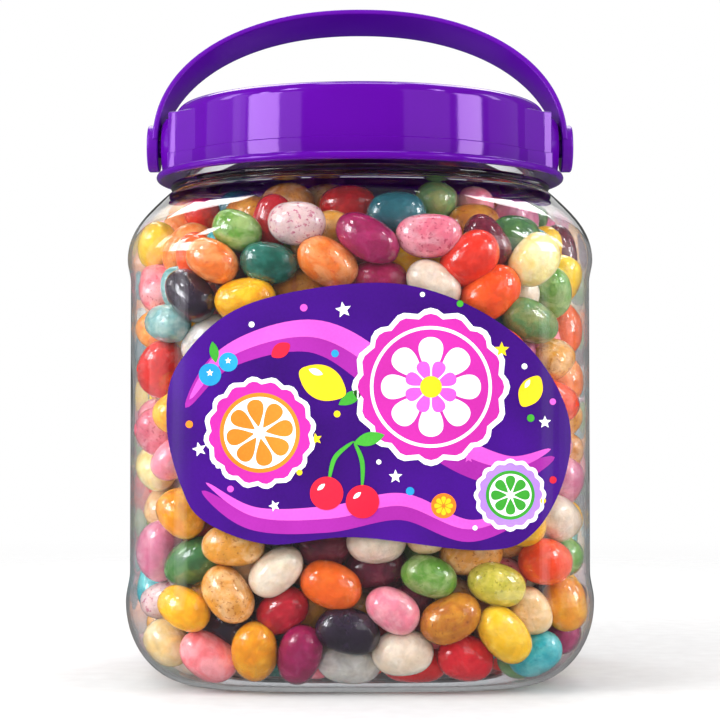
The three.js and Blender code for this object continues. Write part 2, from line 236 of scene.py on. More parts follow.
# The beans seen through the front wall: x, height, tilt in degrees and how far behind the wall
FRONT_BEANS = {
    "lemon": [(-54, 112, 30, 0), (35, 15, -50, 0), (53, 104, -20, 0), (49, 111, -30, 6)],
    "peach": [(-46, 115, -20, 6)],
    "red": [
        (-42, 118, 5, 7), (-50, 80, 60, 0), (-49, 60, 20, 8), (26, 9, -15, 0), (56, 48, 40, 7),
        (27, 106, 40, 0),
    ],
    "rose": [(-53, 102, -50, 0), (-53, 67, 0, 0), (17, 111, -10, 0)],
    "licorice": [(-42, 97, -45, 0), (-3, 16, -15, 1), (-34, 15, 0, 8)],
    "crimson": [(-47, 109, 0, 9), (-3, 121, 0, 8), (-55, 37, 60, 6), (-19, 20, 40, 5)],
    "orange": [(-36, 106, -30, 0), (-8, 106, -35, 0), (55, 79, 80, 4)],
    "leaf": [(-30, 113, -30, 2), (17, 29, -20, 0), (56, 68, 80, 1), (48, 99, -60, 3)],
    "pearl": [(-42, 115, 0, 10), (-38, 87, 45, 4), (-3, 8, -10, 2)],
    "caramel": [
        (-27, 119, 0, 8), (-15, 100, 0, 6), (-13, 21, 30, 10), (22, 19, 25, 1), (29, 116, 0, 7)
    ],
    "amber": [
        (-18, 122, 0, 10), (-11, 123, 10, 14), (-56, 77, 60, 4), (-31, 36, 0, 0), (-32, 25, -55, 0),
        (-56, 12, 60, 4), (27, 34, 0, 3), (48, 82, 20, 1),
    ],
    "speckled": [(-15, 114, -15, 0)],
    "spruce": [(-22, 105, -15, 2), (-22, 5, 30, 8)],
    "golden": [
        (-28, 97, 15, 0), (-44, 44, -40, 0), (-43, 21, -25, 0), (-25, 11, 80, 0), (53, 19, 75, 1),
        (12, 104, 10, 7),
    ],
    "plum": [(2, 111, -30, 0), (-14, 10, 75, 0), (57, 8, 60, 6), (52, 74, 60, 5), (5, 102, 0, 5)],
    "sea": [(-47, 91, 0, 0), (56, 37, 60, 3), (57, 28, -70, 2)],
    "cream": [
        (-55, 89, 80, 3), (-20, 30, 40, 0), (4, 37, 0, 0), (10, 10, 0, 0), (58, 17, 85, 3),
        (49, 43, -20, 0), (19, 101, -30, 0),
    ],
    "butter": [(-52, 55, -20, 0), (-48, 11, -55, 0), (52, 6, 75, 5), (42, 106, 45, 0)],
    "orchid": [(-54, 46, 80, 6), (-50, 34, 75, 0), (41, 118, -10, 5)],
    "teal": [(-55, 25, -60, 0), (43, 10, 50, 0)],
    "forest": [(-41, 32, 20, 4), (38, 112, 0, 6)],
    "coral": [(-37, 9, -50, 0), (55, 56, 80, 1)],
    "tangerine": [(-7, 27, -30, 0), (54, 90, 80, 0)],
    "grape": [(-9, 36, 0, 5), (4, 31, 10, 5), (31, 110, -50, 2), (54, 111, 70, 4)],
    "pink": [(8, 21, -30, 0)],
    "olive": [(33, 28, -40, 0)],
    "scarlet": [(46, 32, -10, 0), (32, 99, 35, 0)],
    "tan": [(42, 20, -50, 4)],
    "moss": [(41, 92, -30, 0)],
    "steel": [(9, 118, 0, 5)],
}


# Sizes and colours that a user may change


def length(name, description, millimetres):
    return bpy.props.FloatProperty(
        name=name, description=description, default=millimetres * MM, min=0.0, unit="LENGTH"
    )


def count(name, description, default):
    return bpy.props.IntProperty(name=name, description=description, default=default, min=1)


def ratio(name, description, default):
    return bpy.props.FloatProperty(
        name=name, description=description, default=default, min=0.0, max=1.0, subtype="FACTOR"
    )


def colour(name, description, default):
    return bpy.props.StringProperty(name=name, description=description, default=default)


def angle(name, description, degrees):
    return bpy.props.FloatProperty(
        name=name, description=description, default=math.radians(degrees), subtype="ANGLE"
    )


class JarSettings(bpy.types.PropertyGroup):
    """Sizes and colours of the clear jar"""

    wall: length("Wall", "Thickness of the jar's wall", 1.0)
    steps_around: count("Steps around", "Faces round the jar", 192)
    tint: colour("Tint", "Colour of the clear plastic, as sRGB hex", "#FCFDFF")


class BeanSettings(bpy.types.PropertyGroup):
    """Sizes and number of the jelly beans"""

    half_length: length("Half length", "Half the length of a usual bean", 7.75)
    half_width: length("Half width", "Half the width of a usual bean", 5.5)
    total: count("Number", "Beans poured in before the hidden ones are dropped", 1080)
    unevenness: ratio("Unevenness", "How much the beans differ in size", 0.05)
    core_depth: length("Core depth", "How far the hidden core lies behind the wall", 21.0)
    seed: count("Seed", "Start of the random numbers", 11)
    # Painted shade: the core's colour stands for the gloom deep between the beans
    core: colour("Core", "Colour deep between the beans, as sRGB hex", "#5A2C1E")


class LabelSettings(bpy.types.PropertyGroup):
    """Sizes and colours of the printed label"""

    standoff: length("Standoff", "From the panel to the film's outer face", 0.6)
    film: length("Film", "Thickness of the film", 0.3)
    ink: length("Ink", "From one layer of ink to the next", 0.03)
    ground: colour("Ground", "Violet of the film, as sRGB hex", "#420484")
    ground_deep: colour("Deep ground", "Darker violet of the film, as sRGB hex", "#2E0460")


class LidSettings(bpy.types.PropertyGroup):
    """Sizes and colours of the screw lid"""

    ear_rounding: length("Ear rounding", "Rounding of the ears' upright corners", 0.3)
    steps_around: count("Steps around", "Faces round the lid", 160)
    violet: colour("Violet", "Colour of the lid's plastic, as sRGB hex", "#560692")
    violet_deep: colour("Deep violet", "Its darker tone, as sRGB hex", "#4A0682")


class HandleSettings(bpy.types.PropertyGroup):
    """Sizes and colours of the carry handle"""

    span: length("Span", "Half the width across the arch", 55.6)
    rise: length("Rise", "Height of the arch over its pivots", 39.2)
    thickness: length("Thickness", "Thickness of the strip", 1.5)
    width: length("Width", "Width of the strip", 13.0)
    rounding: length("Rounding", "Radius of the strip's edges", 0.45)
    lean: angle("Lean", "How far the handle leans back at rest", 18.0)
    violet: colour("Violet", "Colour of the handle's plastic, as sRGB hex", "#5E0A9E")
    violet_deep: colour("Deep violet", "Its darker tone, as sRGB hex", "#500888")


class StageSettings(bpy.types.PropertyGroup):
    """Camera, floor and light"""

    camera_back: length("Camera distance", "From the jar's middle to the camera", 547.0)
    camera_height: length("Camera height", "Height of the camera over the floor", 67.5)
    camera_pitch: angle("Camera pitch", "How far the camera looks up", 1.64)
    camera_lens: bpy.props.FloatProperty(
        name="Lens", description="Focal length on a 36 mm sensor", default=101.5, min=1.0, unit="CAMERA"
    )
    floor_radius: length("Floor radius", "Radius of the round floor", 620.0)
    floor: colour("Floor", "Colour of the floor, as sRGB hex", "#C4C3C3")
    ambient: ratio("Ambient", "Strength of the even studio light", 0.76)
    mirrored: ratio("Mirrored", "Brightness of the dim studio in reflections", 0.1)
    mirrored_in_glass: ratio(
        "Mirrored in glass", "Brightness of the studio after one reflection in the wall", 0.3
    )


def settings():
    return bpy.context.scene.jelly_bean_jar


class JellyBeanJar(bpy.types.PropertyGroup):
    """All settings of the jar of jelly beans"""

    jar: bpy.props.PointerProperty(type=JarSettings)
    beans: bpy.props.PointerProperty(type=BeanSettings)
    label: bpy.props.PointerProperty(type=LabelSettings)
    lid: bpy.props.PointerProperty(type=LidSettings)
    handle: bpy.props.PointerProperty(type=HandleSettings)
    stage: bpy.props.PointerProperty(type=StageSettings)


# Materials

# Kinds of node that are used often
BACKGROUND = "ShaderNodeBackground"
BUMP = "ShaderNodeBump"
EMISSION = "ShaderNodeEmission"
MATHS = "ShaderNodeMath"
MIX = "ShaderNodeMix"
MIX_SHADERS = "ShaderNodeMixShader"
NOISE = "ShaderNodeTexNoise"
OUTPUT = "ShaderNodeOutputMaterial"
PATH = "ShaderNodeLightPath"
PRINCIPLED = "ShaderNodeBsdfPrincipled"
RANGE = "ShaderNodeMapRange"
TRANSPARENT = "ShaderNodeBsdfTransparent"

# Sockets of a Mix node in colour mode, whose names repeat
MIX_FACTOR = 0
MIX_FIRST = 6
MIX_SECOND = 7
MIX_RESULT = 2


def linear(hex_colour):
    """An sRGB hex colour as the linear colour that Blender's sockets take."""
    parts = [int(hex_colour[i : i + 2], 16) / 255 for i in (1, 3, 5)]
    parts = [p / 12.92 if p <= 0.04045 else ((p + 0.055) / 1.055) ** 2.4 for p in parts]
    return (*parts, 1.0)


def per_metre(millimetres):
    """A texture scale that gives features of that size."""
    return 1.0 / (millimetres * MM)


def add_node(tree, kind, inputs=None, **settings):
    """Adds a node. Its inputs get values or links, and a node stands for its first output."""
    node = tree.nodes.new(kind)
    for name, value in settings.items():
        setattr(node, name, value)
    for name, value in (inputs or {}).items():
        if isinstance(value, bpy.types.Node):
            value = value.outputs[0]
        if isinstance(value, bpy.types.NodeSocket):
            tree.links.new(value, node.inputs[name])
        else:
            node.inputs[name].default_value = value
    return node


def new_material(name):
    """An empty node material, its tree and its Object coordinates."""
    material = bpy.data.materials.new(name)
    material.use_nodes = True
    tree = material.node_tree
    tree.nodes.clear()
    return material, tree, add_node(tree, "ShaderNodeTexCoord").outputs["Object"]


def blown_clear_pet(tint):
    """Clear PET, blown: glass-like, with the faint ripple of a blown wall. Shadow rays pass."""
    material, tree, place = new_material("clear_pet_blown")
    ripple = add_node(
        tree, NOISE, {"Vector": place, "Scale": per_metre(22.0), "Detail": 1.0, "Roughness": 0.4}
    )
    bump = add_node(tree, BUMP, {"Height": ripple, "Strength": 0.35, "Distance": 0.5 * MM})
    body = {"Base Color": linear(tint), "Roughness": 0.015, "IOR": 1.5, "Normal": bump}
    plastic = add_node(tree, PRINCIPLED, {**body, "Transmission Weight": 1.0})
    clear = add_node(tree, TRANSPARENT, {"Color": (0.97, 0.97, 0.97, 1.0)})
    shadow = add_node(tree, PATH).outputs["Is Shadow Ray"]
    mix = add_node(tree, MIX_SHADERS, {"Fac": shadow, 1: plastic, 2: clear})
    add_node(tree, OUTPUT, {"Surface": mix})
    return material


def moulded_polypropylene(name, violet, violet_deep, roughness):
    """Polypropylene, injection moulded: glossy, a little cloudy, with a very fine flow texture."""
    material, tree, place = new_material(name)
    cloud = add_node(tree, NOISE, {"Vector": place, "Scale": per_metre(30.0), "Detail": 3.0})
    tones = {MIX_FIRST: linear(violet_deep), MIX_SECOND: linear(violet)}
    tone = add_node(tree, MIX, {MIX_FACTOR: cloud, **tones}, data_type="RGBA")
    ends = {"To Min": roughness - 0.03, "To Max": roughness + 0.02}
    gloss = add_node(tree, RANGE, {"Value": cloud, **ends})
    # The real flow texture is under 0.2 mm, and is drawn at 1.2 mm so that it shows
    flow = add_node(tree, NOISE, {"Vector": place, "Scale": per_metre(1.2)})
    bump = add_node(tree, BUMP, {"Height": flow, "Strength": 0.05, "Distance": 0.08 * MM})
    body = {"Base Color": tone.outputs[MIX_RESULT], "Roughness": gloss, "Normal": bump}
    shine = {"IOR": 1.55, "Specular Tint": (0.72, 0.38, 1.0, 1.0)}
    add_node(tree, OUTPUT, {"Surface": add_node(tree, PRINCIPLED, {**body, **shine})})
    return material


def printed_film(name, first, second):
    """Polypropylene film, printed and varnished: flat colour with a fine press grain, satin gloss."""
    material, tree, place = new_material(name)
    wash = add_node(tree, NOISE, {"Vector": place, "Scale": per_metre(26.0)})
    # A press screen is about 0.15 mm, and is drawn at 0.6 mm so that it shows
    grain = add_node(tree, NOISE, {"Vector": place, "Scale": per_metre(0.6), "Detail": 1.0})
    both = add_node(tree, MATHS, {0: grain, 1: 0.2, 2: wash}, operation="MULTIPLY_ADD")
    share = add_node(tree, RANGE, {"Value": both, "From Min": 0.35, "From Max": 0.85})
    tones = {MIX_FIRST: linear(first), MIX_SECOND: linear(second)}
    tone = add_node(tree, MIX, {MIX_FACTOR: share, **tones}, data_type="RGBA")
    bump = add_node(tree, BUMP, {"Height": wash, "Strength": 0.12, "Distance": 0.15 * MM})
    body = {"Base Color": tone.outputs[MIX_RESULT], "Roughness": 0.22, "IOR": 1.49, "Normal": bump}
    add_node(tree, OUTPUT, {"Surface": add_node(tree, PRINCIPLED, body)})
    return material


def panned_sugar(kind):
    """Panned sugar, waxed: a glossy, slightly see-through coat, mottled and speckled."""
    base, second, speck, mottled, speckled, see_through = BEAN_KINDS[kind]
    material, tree, place = new_material("panned_sugar_" + kind)
    own = add_node(tree, "ShaderNodeAttribute", attribute_name="bean_tone").outputs["Fac"]
    mottling = {"Scale": per_metre(4.5), "Detail": 3.0, "Roughness": 0.55, "Distortion": 0.5}
    clouds = add_node(tree, NOISE, {"Vector": place, **mottling})
    ends = {"From Min": 0.42, "From Max": 0.6, "To Max": mottled}
    share = add_node(tree, RANGE, {"Value": clouds, **ends})
    tones = {MIX_FIRST: linear(base), MIX_SECOND: linear(second)}
    coat = add_node(tree, MIX, {MIX_FACTOR: share, **tones}, data_type="RGBA")
    # Specks of 0.5 to 1 mm gather in patches
    specks = add_node(tree, NOISE, {"Vector": place, "Scale": per_metre(1.1), "Roughness": 0.7})
    more = 0.12 * speckled
    ends = {"From Min": 0.66 - more, "From Max": 0.74 - more, "To Max": 0.35 + 0.55 * speckled}
    spots = add_node(tree, RANGE, {"Value": specks, **ends})
    tones = {MIX_FIRST: coat.outputs[MIX_RESULT], MIX_SECOND: linear(speck)}
    dotted = add_node(tree, MIX, {MIX_FACTOR: spots, **tones}, data_type="RGBA")
    # The sugar's thickness changes over a few millimetres, which lightens and darkens it
    thickness = add_node(tree, NOISE, {"Vector": place, "Scale": per_metre(3.2), "Distortion": 0.8})
    ends = {"From Min": 0.3, "From Max": 0.7, "To Min": -0.12, "To Max": 0.14}
    streaks = add_node(tree, RANGE, {"Value": thickness, **ends})
    usual = add_node(tree, RANGE, {"Value": own, "To Min": 0.84, "To Max": 1.12})
    lightness = add_node(tree, MATHS, {0: usual, 1: streaks}, operation="ADD")
    turn = add_node(tree, RANGE, {"Value": own, "To Min": 0.492, "To Max": 0.508})
    changes = {"Hue": turn, "Value": lightness, "Color": dotted.outputs[MIX_RESULT]}
    toned = add_node(tree, "ShaderNodeHueSaturation", changes)
    gloss = add_node(tree, RANGE, {"Value": clouds, "To Min": 0.18, "To Max": 0.34})
    uneven = {"Scale": per_metre(3.0), "Detail": 3.0, "Roughness": 0.55}
    dents = add_node(tree, NOISE, {"Vector": place, **uneven})
    crackle = add_node(tree, NOISE, {"Vector": place, "Scale": per_metre(1.3), "Roughness": 0.6})
    both = add_node(tree, MATHS, {0: crackle, 1: 0.32, 2: dents}, operation="MULTIPLY_ADD")
    bump = add_node(tree, BUMP, {"Height": both, "Strength": 0.6, "Distance": 0.9 * MM})
    inside = {
        "IOR": 1.3,
        "Subsurface Weight": see_through,
        "Subsurface Radius": (1.0, 0.6, 0.4),
        "Subsurface Scale": 1.6 * MM,
    }
    wax = {"Coat Weight": 1.0, "Coat Roughness": 0.03, "Coat IOR": 1.8}
    body = {"Base Color": toned, "Roughness": gloss, "Normal": bump}
    add_node(tree, OUTPUT, {"Surface": add_node(tree, PRINCIPLED, {**body, **inside, **wax})})
    return material


def painted_shade_sugar(painted_shade_colour):
    """Beans deep in the heap, out of reach of the light: painted shade, in patches of many colours."""
    material, tree, place = new_material("panned_sugar_in_shade")
    pattern = {"Vector": place, "Scale": per_metre(13.0)}
    cells = add_node(tree, "ShaderNodeTexVoronoi", pattern)
    # The core's colour is painted shade, the gloom deep in the heap, multiplied with the cells' colours
    tones = {MIX_FACTOR: 0.55, MIX_FIRST: linear(painted_shade_colour), MIX_SECOND: cells.outputs["Color"]}
    mixed = add_node(tree, MIX, tones, data_type="RGBA", blend_type="MULTIPLY")
    depth = {"Height": cells.outputs["Distance"], "Strength": 1.0, "Distance": 4.0 * MM}
    hollows = add_node(tree, BUMP, depth, invert=True)
    body = {"Base Color": mixed.outputs[MIX_RESULT], "Roughness": 0.35, "IOR": 1.45, "Normal": hollows}
    add_node(tree, OUTPUT, {"Surface": add_node(tree, PRINCIPLED, body)})
    return material


def reflected_level(tree, path, outside, in_glass):
    """How bright the studio is in reflections: brighter after more of them inside the jar's wall."""
    crossed, mirrored = path.outputs["Transmission Depth"], path.outputs["Glossy Depth"]
    inside = add_node(tree, MATHS, {0: crossed, 1: 2.0, 2: 1.1}, operation="COMPARE")
    slope = {1: 2 * in_glass, 2: -in_glass}
    gathered = add_node(tree, MATHS, {0: mirrored, **slope}, operation="MULTIPLY_ADD")
    capped = add_node(tree, MATHS, {0: gathered, 1: 0.95}, operation="MINIMUM")
    return add_node(tree, MIX, {"Factor": inside, "A": outside, "B": capped}).outputs["Result"]


def painted_floor(shade, radius, dimmed, dimmed_in_glass):
    """Matt studio paint, rolled: pale, faintly lit from below, fading out far from the jar."""
    material, tree, place = new_material("studio_paint_rolled")
    grain = add_node(tree, NOISE, {"Vector": place, "Scale": per_metre(6.0)})
    tones = {MIX_FIRST: linear(shade), MIX_SECOND: linear("#D0D0D0")}
    mixed = add_node(tree, MIX, {MIX_FACTOR: grain, **tones}, data_type="RGBA")
    tone = mixed.outputs[MIX_RESULT]
    paint = add_node(tree, "ShaderNodeBsdfDiffuse", {"Color": tone})
    # The light that the floor throws up at the jar is that of a lit table
    path = add_node(tree, PATH)
    ends = {"To Min": 0.04, "To Max": 1.4}
    thrown = add_node(tree, RANGE, {"Value": path.outputs["Diffuse Depth"], **ends})
    glow = add_node(tree, EMISSION, {"Color": tone, "Strength": thrown})
    lit = add_node(tree, "ShaderNodeAddShader", {0: paint, 1: glow})
    away = add_node(tree, "ShaderNodeVectorMath", {0: place}, operation="LENGTH").outputs["Value"]
    ends = {"From Min": 0.18, "From Max": radius}
    fade = add_node(tree, RANGE, {"Value": away, **ends}, interpolation_type="SMOOTHSTEP")
    # In reflections the floor is as dim as the studio round it
    level = reflected_level(tree, path, dimmed, dimmed_in_glass)
    gloom = add_node(tree, EMISSION, {"Strength": level})
    shown = add_node(tree, MIX_SHADERS, {"Fac": path.outputs["Glossy Depth"], 1: lit, 2: gloom})
    clear = add_node(tree, TRANSPARENT)
    mix = add_node(tree, MIX_SHADERS, {"Fac": fade, 1: shown, 2: clear})
    add_node(tree, OUTPUT, {"Surface": mix})
    return material


def studio_world(ambient, dimmed, dimmed_in_glass):
    """The studio round the jar: white behind it, even light on it, and dim in reflections."""
    world = bpy.data.worlds.new("studio_world")
    world.use_nodes = True
    tree = world.node_tree
    tree.nodes.clear()
    white = (1.0, 1.0, 1.0, 1.0)
    path = add_node(tree, PATH)
    matt, mirrored = path.outputs["Diffuse Depth"], path.outputs["Glossy Depth"]
    level = reflected_level(tree, path, dimmed, dimmed_in_glass)
    even = add_node(tree, BACKGROUND, {"Color": white, "Strength": ambient})
    dim = add_node(tree, BACKGROUND, {"Color": white, "Strength": level})
    bright = add_node(tree, BACKGROUND, {"Color": white, "Strength": 1.0})
    lit = add_node(tree, MIX_SHADERS, {"Fac": matt, 1: dim, 2: even})
    turns = add_node(tree, MATHS, {0: matt, 1: mirrored}, operation="ADD", use_clamp=True)
    seen = add_node(tree, MIX_SHADERS, {"Fac": turns, 1: bright, 2: lit})
    add_node(tree, "ShaderNodeOutputWorld", {"Surface": seen})
    return world


# Shapes. Meshes are worked in millimetres and scaled once, when they become pieces


def finished_piece(name, bm, material, body, nodes=(), smooth_angle=None):
    """Makes a bmesh in millimetres into a piece that rides on a body."""
    bmesh.ops.scale(bm, vec=Vector((MM, MM, MM)), verts=bm.verts)
    mesh = bpy.data.meshes.new(name)
    bm.to_mesh(mesh)
    bm.free()
    mesh.materials.append(material)
    mesh.shade_smooth()
    if smooth_angle:
        mesh.set_sharp_from_angle(angle=math.radians(smooth_angle))
    piece = bpy.data.objects.new(name, mesh)
    bpy.context.scene.collection.objects.link(piece)
    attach(piece, body)
    if nodes:
        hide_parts(*nodes)
    return piece


def arc(centre_radius, centre_height, across, up, start, end, steps):
    """Points of an elliptic arc, as radius and height."""
    angles = np.radians(np.linspace(start, end, steps + 1))
    return [(centre_radius + across * math.cos(a), centre_height + up * math.sin(a)) for a in angles]


def soft_step(start, end, steps):
    """Points of a smooth S-shaped run between two points, without its ends."""
    points = []
    for i in range(1, steps):
        share = i / steps
        eased = share * share * (3 - 2 * share)
        radius = start[0] + (end[0] - start[0]) * eased
        points.append((radius, start[1] + (end[1] - start[1]) * share))
    return points


def turned(profile, steps, axis=(0, 0, 1), along=Vector((0, 0, 1)), out=Vector((1, 0, 0)), middle=None):
    """A closed shell spun from a profile of radius and distance along the axis."""
    middle = middle or Vector((0, 0, 0))
    bm = bmesh.new()
    line = [bm.verts.new(middle + out * radius + along * place) for radius, place in profile]
    edges = [bm.edges.new(pair) for pair in zip(line, line[1:])]
    bmesh.ops.spin(
        bm,
        geom=line + edges,
        cent=middle,
        axis=Vector(axis),
        angle=2 * math.pi,
        steps=steps,
        use_merge=True,
    )
    bmesh.ops.remove_doubles(bm, verts=bm.verts, dist=0.0005)
    bmesh.ops.recalc_face_normals(bm, faces=bm.faces)
    return bm


def turned_sideways(profile, sign, height):
    """A shell spun about the X axis at that height, towards +X or -X."""
    ways = {"axis": (1, 0, 0), "along": Vector((sign, 0, 0)), "out": Vector((0, 0, 1))}
    return turned(profile, 64, **ways, middle=Vector((0, 0, height)))


def bevel(bm, geometry, offset, segments, affect="EDGES"):
    bmesh.ops.bevel(
        bm, geom=geometry, offset=offset, segments=segments, profile=0.5, affect=affect, material=-1
    )


def merge_into(bm, other):
    """Adds another bmesh's faces to bm."""
    mesh = bpy.data.meshes.new("part")
    other.to_mesh(mesh)
    other.free()
    bm.from_mesh(mesh)
    bpy.data.meshes.remove(mesh)


def section_power(height):
    """The section's exponent: nearly square in the body, round in the neck."""
    share = np.clip((height - SHOULDER_START) / (NECK_START - SHOULDER_START), 0, 1)
    return BODY_EXPONENT + (NECK_EXPONENT - BODY_EXPONENT) * share * share * (3 - 2 * share)


def square_up(bm):
    """Presses a round shell into the jar's rounded-square section."""
    for vertex in bm.verts:
        radius = math.hypot(vertex.co.x, vertex.co.y)
        if radius > 1e-6:
            power = section_power(vertex.co.z)
            side = abs(vertex.co.x / radius) ** power + abs(vertex.co.y / radius) ** power
            vertex.co.x *= side ** (-1 / power)
            vertex.co.y *= side ** (-1 / power)


def wall_line(inset):
    """The jar's wall from the base ring to the shoulder's top, that far inside its outer face."""
    half_base = BASE_HALF - BASE_FILLET_WIDTH
    fillet = arc(
        half_base, BASE_FILLET_HEIGHT, BASE_FILLET_WIDTH - inset, BASE_FILLET_HEIGHT - inset, -90, 0, 20
    )
    shoulder = arc(
        SHOULDER_HALF - SHOULDER_RADIUS,
        SHOULDER_START,
        SHOULDER_RADIUS - inset,
        SHOULDER_RADIUS - inset,
        0,
        SHOULDER_SWEEP,
        16,
    )
    low = (PANEL_HALF - inset, PANEL_BOTTOM)
    high = (PANEL_HALF - inset, PANEL_TOP)
    return [
        *fillet,
        *soft_step(fillet[-1], low, 8),
        low,
        (PANEL_HALF - inset, (PANEL_BOTTOM + PANEL_TOP) / 2),
        high,
        *soft_step(high, shoulder[0], 8),
        *shoulder,
    ]


def jar_profile(wall):
    """The whole wall, from the pushed-up base over the outside and back down the inside."""
    half_base = BASE_HALF - BASE_FILLET_WIDTH
    ring = half_base - RING_WIDTH
    dome = ring - 2 * PUSH_UP
    outside = wall_line(0.0)
    inside = wall_line(wall)[::-1]
    bead_middle = (BEAD_BOTTOM + BEAD_TOP) / 2
    bead_half = (BEAD_TOP - BEAD_BOTTOM) / 2
    neck_inner = NECK_RADIUS - NECK_WALL
    push = soft_step((dome, PUSH_UP), (ring, 0.0), 6)
    lift = soft_step((ring, FLOOR_WALL), (dome, PUSH_UP + FLOOR_WALL), 6)
    return [
        (0.0, PUSH_UP),
        (dome / 2, PUSH_UP),
        (dome, PUSH_UP),
        *push,
        (ring, 0.0),
        *outside,
        *soft_step(outside[-1], (BEAD_RADIUS - 1.2, BEAD_BOTTOM - 0.15), 3),
        *arc(BEAD_RADIUS - bead_half, bead_middle, bead_half, bead_half, -80, 80, 8),
        (NECK_RADIUS + 0.4, BEAD_TOP + 0.1),
        (NECK_RADIUS, BEAD_TOP + 0.4),
        (NECK_RADIUS, RIM_TOP - 0.4),
        (NECK_RADIUS - 0.4, RIM_TOP),
        (neck_inner + 0.3, RIM_TOP),
        (neck_inner, RIM_TOP - 0.3),
        (neck_inner, BEAD_TOP),
        *soft_step((neck_inner, BEAD_TOP), inside[0], 4),
        *inside,
        (ring, FLOOR_WALL),
        *lift,
        (dome, PUSH_UP + FLOOR_WALL),
        (dome / 2, PUSH_UP + FLOOR_WALL),
        (0.0, PUSH_UP + FLOOR_WALL),
    ]


def panel_depth(x):
    """How far the front panel's face lies in front of the jar's middle at x."""
    return PANEL_HALF * (1 - (np.abs(x) / PANEL_HALF) ** BODY_EXPONENT) ** (1 / BODY_EXPONENT)


# Beans


class WallField:
    """How far a point is inside the jar's wall, and which way is inwards."""

    def __init__(self, wall):
        line = sorted({(height, radius) for radius, height in wall_line(wall)})
        neck = NECK_RADIUS - NECK_WALL
        line += [(BEAD_TOP, neck), (RIM_TOP, neck)]
        self.heights = np.array([place[0] for place in line])
        self.halves = np.array([place[1] for place in line])
        self.ring = BASE_HALF - BASE_FILLET_WIDTH - RING_WIDTH

    def half(self, height):
        return np.interp(height, self.heights, self.halves)

    def floor(self, points):
        """Height of the pushed-up floor, which dips to the ring at its edge."""
        reach = (np.abs(points[..., :2]) ** BODY_EXPONENT).sum(axis=-1) ** (1 / BODY_EXPONENT)
        ends = (self.ring - 2 * PUSH_UP, self.ring)
        return np.interp(reach, ends, (PUSH_UP + FLOOR_WALL, FLOOR_WALL + 0.2))

    def measure(self, points):
        x, y = points[:, 0], points[:, 1]
        height = np.clip(points[:, 2], 2.0, RIM_TOP)
        power = section_power(height)
        side_x, side_y = np.abs(x) + 1e-6, np.abs(y) + 1e-6
        norm = (side_x**power + side_y**power) ** (1 / power)
        slope = -(self.half(height + 0.5) - self.half(height - 0.5))
        gradient = np.stack(
            [
                np.sign(x) * (side_x / norm) ** (power - 1),
                np.sign(y) * (side_y / norm) ** (power - 1),
                np.clip(slope, -4, 4),
            ],
            axis=1,
        )
        size = np.linalg.norm(gradient, axis=1)
        return (norm - self.half(height)) / size, gradient / size[:, None]

    def depth(self, points):
        """Distance behind the wall and the inward direction, by two steps towards the wall."""
        first, outwards = self.measure(points)
        second, normal = self.measure(points - first[:, None] * outwards)
        return -(first + second), -normal


def place_at_wall(field, x, height, tilt, setback, half_width):
    """The middle and the long direction of a bean that lies against the front wall."""
    limit = float(field.half(height)) - half_width - 0.4 * setback - 0.3
    x = max(-limit, min(limit, x))
    near, far = -PANEL_HALF - 2, -14.0
    for _ in range(30):
        middle = (near + far) / 2
        depth, _ = field.depth(np.array([[x, middle, height]]))
        near, far = (middle, far) if depth[0] < half_width + setback else (near, middle)
    point = np.array([x, (near + far) / 2, height], float)
    inwards = field.depth(point[None])[1][0]
    right = np.cross(-inwards, [0.0, 0.0, 1.0])
    right /= np.linalg.norm(right)
    right *= 1 if right[0] > 0 else -1
    up = np.cross(right, inwards)
    up *= 1 if up[2] > 0 else -1
    angle = math.radians(tilt)
    return point, right * math.cos(angle) + up * math.sin(angle)


# The beans are pressed level at this height
HEAP_TOP = 127.5
# How they settle: in how many rounds, how much the listed front beans give way, their half width at the
# wall, and the balls at a bean's ends beside its middle one
SETTLING_ROUNDS = 420
PLACED_GIVE = 0.35
PLACED_HALF_WIDTH = 5.4
END_BALL = 0.86


def depth_of_balls(field, places, balls, spare):
    """How far each ball sinks into the wall, and the way back in."""
    depth, inwards = field.depth(places.reshape(-1, 3))
    sunk = (balls.reshape(-1) + spare - depth).clip(0, 6).reshape(balls.shape)
    return sunk, inwards.reshape(places.shape)


